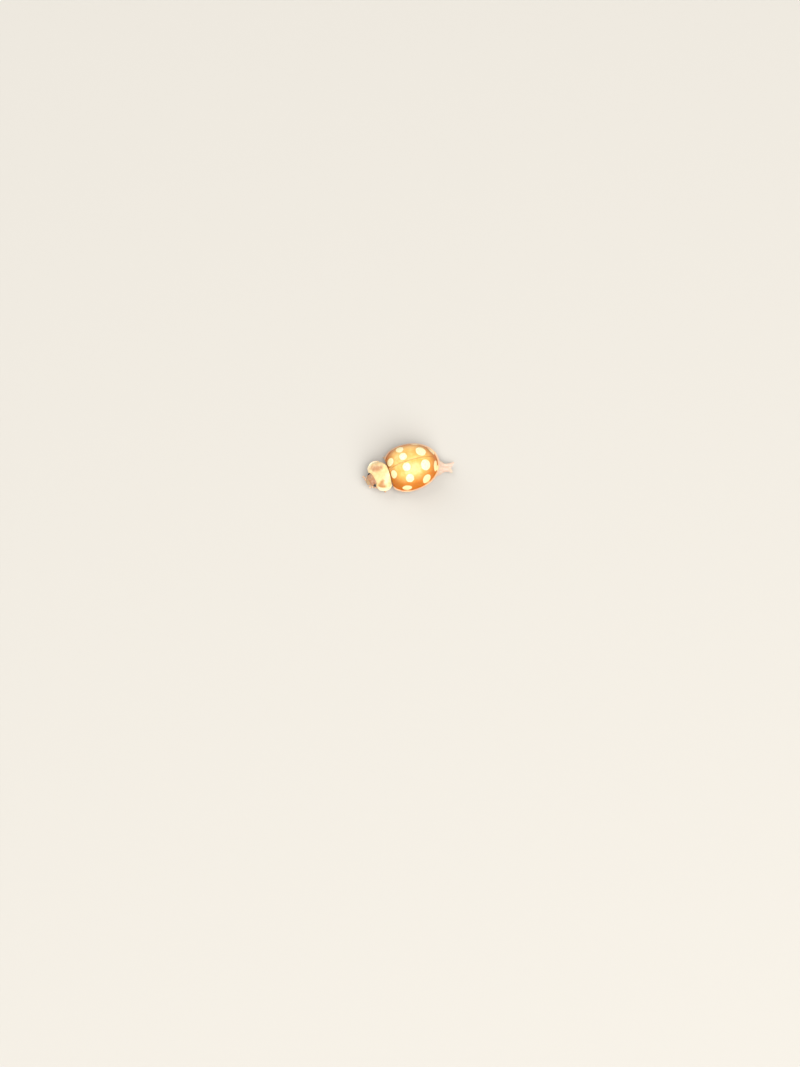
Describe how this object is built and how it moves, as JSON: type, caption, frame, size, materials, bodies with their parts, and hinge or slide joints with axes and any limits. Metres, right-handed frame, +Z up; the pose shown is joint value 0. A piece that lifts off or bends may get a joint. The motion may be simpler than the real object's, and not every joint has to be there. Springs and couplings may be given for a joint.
{
  "type": "ladybird",
  "caption": "Small orange beetle with cream round marks, at rest with its legs drawn in and one wing tip showing; a still life-size model.",
  "frame": {"origin": "middle of the foot of the part's box, on the floor under the beetle", "axes": "+Z up, the head towards -Y, the beetle's left side towards +X"},
  "size_m": [0.0036, 0.0068, 0.0025],
  "materials": {
    "wing_case": "glossy, fine pits, orange with cream round marks",
    "shield": "glossy, cream with soft orange blotches and clear pale margins",
    "head": "satin, pale brown",
    "eye": "glossy, fine facets",
    "feeler": "satin, pale amber",
    "mouthparts": "satin, amber",
    "wing_membrane": "thin clear sheet with brown veins",
    "leg": "satin, amber",
    "underside": "satin, amber brown"
  },
  "bodies": {
    "root": {"abdomen": "underside", "eye_left": "eye", "eye_right": "eye", "feeler_left": "feeler", "feeler_right": "feeler", "flying_wing_left": "wing_membrane", "flying_wing_right": "wing_membrane", "foot_front_left": "leg", "foot_front_right": "leg", "foot_hind_left": "leg", "foot_hind_right": "leg", "foot_middle_left": "leg", "foot_middle_right": "leg", "head": "head", "mouth": "mouthparts", "palp_left": "mouthparts", "palp_right": "mouthparts", "pronotum": "shield", "prothorax": "underside", "scutellum": "wing_case", "shin_front_left": "leg", "shin_front_right": "leg", "shin_hind_left": "leg", "shin_hind_right": "leg", "shin_middle_left": "leg", "shin_middle_right": "leg", "thigh_front_left": "leg", "thigh_front_right": "leg", "thigh_hind_left": "leg", "thigh_hind_right": "leg", "thigh_middle_left": "leg", "thigh_middle_right": "leg", "thorax": "underside", "wing_case_left": "wing_case", "wing_case_right": "wing_case"}
  },
  "joints": []
}
